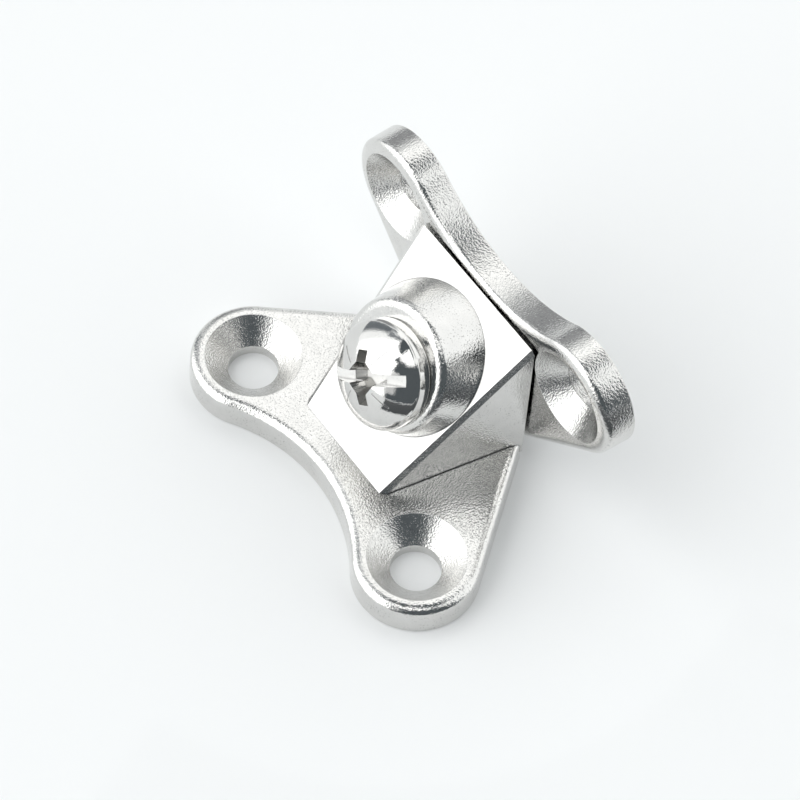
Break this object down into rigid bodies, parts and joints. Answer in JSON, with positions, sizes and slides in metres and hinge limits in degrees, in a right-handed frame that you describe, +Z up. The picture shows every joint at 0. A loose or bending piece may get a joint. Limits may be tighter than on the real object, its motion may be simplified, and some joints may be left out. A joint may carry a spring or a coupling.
{
  "type": "corner connector bracket",
  "caption": "Right-angle corner connector: an eared base bracket with a wedge block and an eared upright bracket, drawn together by a slanting machine screw.",
  "frame": {"origin": "on the base bracket's underside, below the middle of the whole connector", "axes": "+Z up out of the base bracket, +X out through the upright bracket's back, +Y along the corner between the two panels"},
  "size_m": [0.0302, 0.0466, 0.0271],
  "materials": {
    "bright_nickel_base": "bright nickel plate on zinc die-casting, fine cast grain, ground sloping face",
    "bright_nickel_upright": "bright nickel plate on zinc die-casting, fine cast grain",
    "bright_nickel_screw": "bright nickel plate on steel, polished"
  },
  "bodies": {
    "base": {"base_bracket": "bright_nickel_base"},
    "upright": {"upright_bracket": "bright_nickel_upright"},
    "screw": {"clamp_screw": "bright_nickel_screw"}
  },
  "joints": [
    {"name": "screw_turn", "type": "hinge", "parent": "base", "child": "screw", "pos_m": [-0.00081, -0.0002, 0.0149], "axis": [-0.866, 0, 0.5], "range_deg": [0, 1441]},
    {"name": "upright_draw", "type": "slide", "parent": "base", "child": "upright", "axis": [0.866, 0, -0.5], "range_m": [0, 0.004]}
  ],
  "couplings": [
    {"joint": "screw_turn", "follows": "upright_draw", "rad_per_m": 6283.2}
  ]
}
